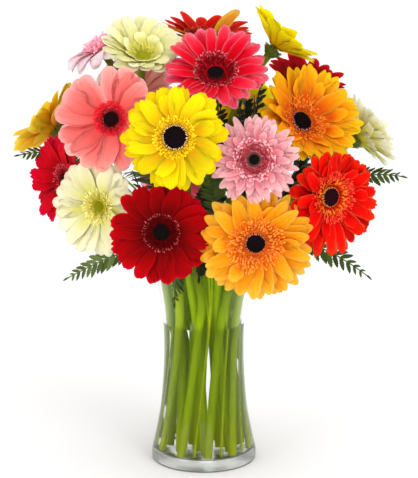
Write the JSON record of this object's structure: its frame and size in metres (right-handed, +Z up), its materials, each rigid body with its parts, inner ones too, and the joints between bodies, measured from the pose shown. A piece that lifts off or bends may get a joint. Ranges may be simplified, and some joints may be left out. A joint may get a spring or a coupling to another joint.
{
  "type": "gerberas in a vase",
  "caption": "Rounded bunch of many-coloured gerbera daisies and fern fronds standing in a clear flared glass vase of water.",
  "frame": {"origin": "centre of the vase's flat underside, where it stands on a surface", "axes": "+Z up along the vase's axis; -Y towards the side that the picture shows; +X to that viewer's right"},
  "size_m": [0.3637, 0.2863, 0.4355],
  "materials": {
    "glass": "clear, polished",
    "water": "clear",
    "stem": "fleshy, finely downy",
    "fern": "leathery, semi-matt",
    "eye": "matt, velvety",
    "petal_amber": "soft satin petal",
    "petal_coral": "soft satin petal",
    "petal_cream": "soft satin petal",
    "petal_crimson": "soft satin petal",
    "petal_darkred": "soft satin petal",
    "petal_hotpink": "soft satin petal",
    "petal_orange": "soft satin petal",
    "petal_pink": "soft satin petal",
    "petal_red": "soft satin petal",
    "petal_scarlet": "soft satin petal",
    "petal_yellow": "soft satin petal"
  },
  "bodies": {
    "root": {"vase": "glass", "water": "water", "bloom_yellow_centre": "petal_yellow", "stem_yellow_centre": "stem", "eye_yellow_centre": "eye", "bloom_pink_centre": "petal_pink", "stem_pink_centre": "stem", "eye_pink_centre": "eye", "bloom_orange_low": "petal_orange", "stem_orange_low": "stem", "eye_orange_low": "eye", "bloom_red_low": "petal_red", "stem_red_low": "stem", "eye_red_low": "eye", "bloom_cream_left": "petal_cream", "stem_cream_left": "stem", "bloom_coral_left": "petal_coral", "stem_coral_left": "stem", "eye_coral_left": "eye", "bloom_scarlet_right": "petal_scarlet", "stem_scarlet_right": "stem", "eye_scarlet_right": "eye", "bloom_orange_right": "petal_orange", "stem_orange_right": "stem", "eye_orange_right": "eye", "bloom_hotpink_top": "petal_hotpink", "stem_hotpink_top": "stem", "eye_hotpink_top": "eye", "bloom_cream_top": "petal_cream", "stem_cream_top": "stem", "bloom_crimson_left": "petal_crimson", "stem_crimson_left": "stem", "eye_crimson_left": "eye", "bloom_amber_left": "petal_amber", "stem_amber_left": "stem", "bloom_pink_left": "petal_pink", "stem_pink_left": "stem", "bloom_red_top": "petal_scarlet", "stem_red_top": "stem", "bloom_yellow_top": "petal_yellow", "stem_yellow_top": "stem", "bloom_darkred_right": "petal_darkred", "stem_darkred_right": "stem", "bloom_cream_right": "petal_cream", "stem_cream_right": "stem", "bloom_coral_back": "petal_coral", "stem_coral_back": "stem", "bloom_yellow_back": "petal_yellow", "stem_yellow_back": "stem", "eye_yellow_back": "eye", "bloom_hotpink_back": "petal_hotpink", "stem_hotpink_back": "stem", "frond_left_low": "fern", "frond_right_low": "fern", "frond_right_mid": "fern", "frond_left_mid": "fern", "frond_front_hanging": "fern", "frond_front_upright": "fern", "frond_back_left": "fern", "frond_back_right": "fern"}
  },
  "joints": []
}
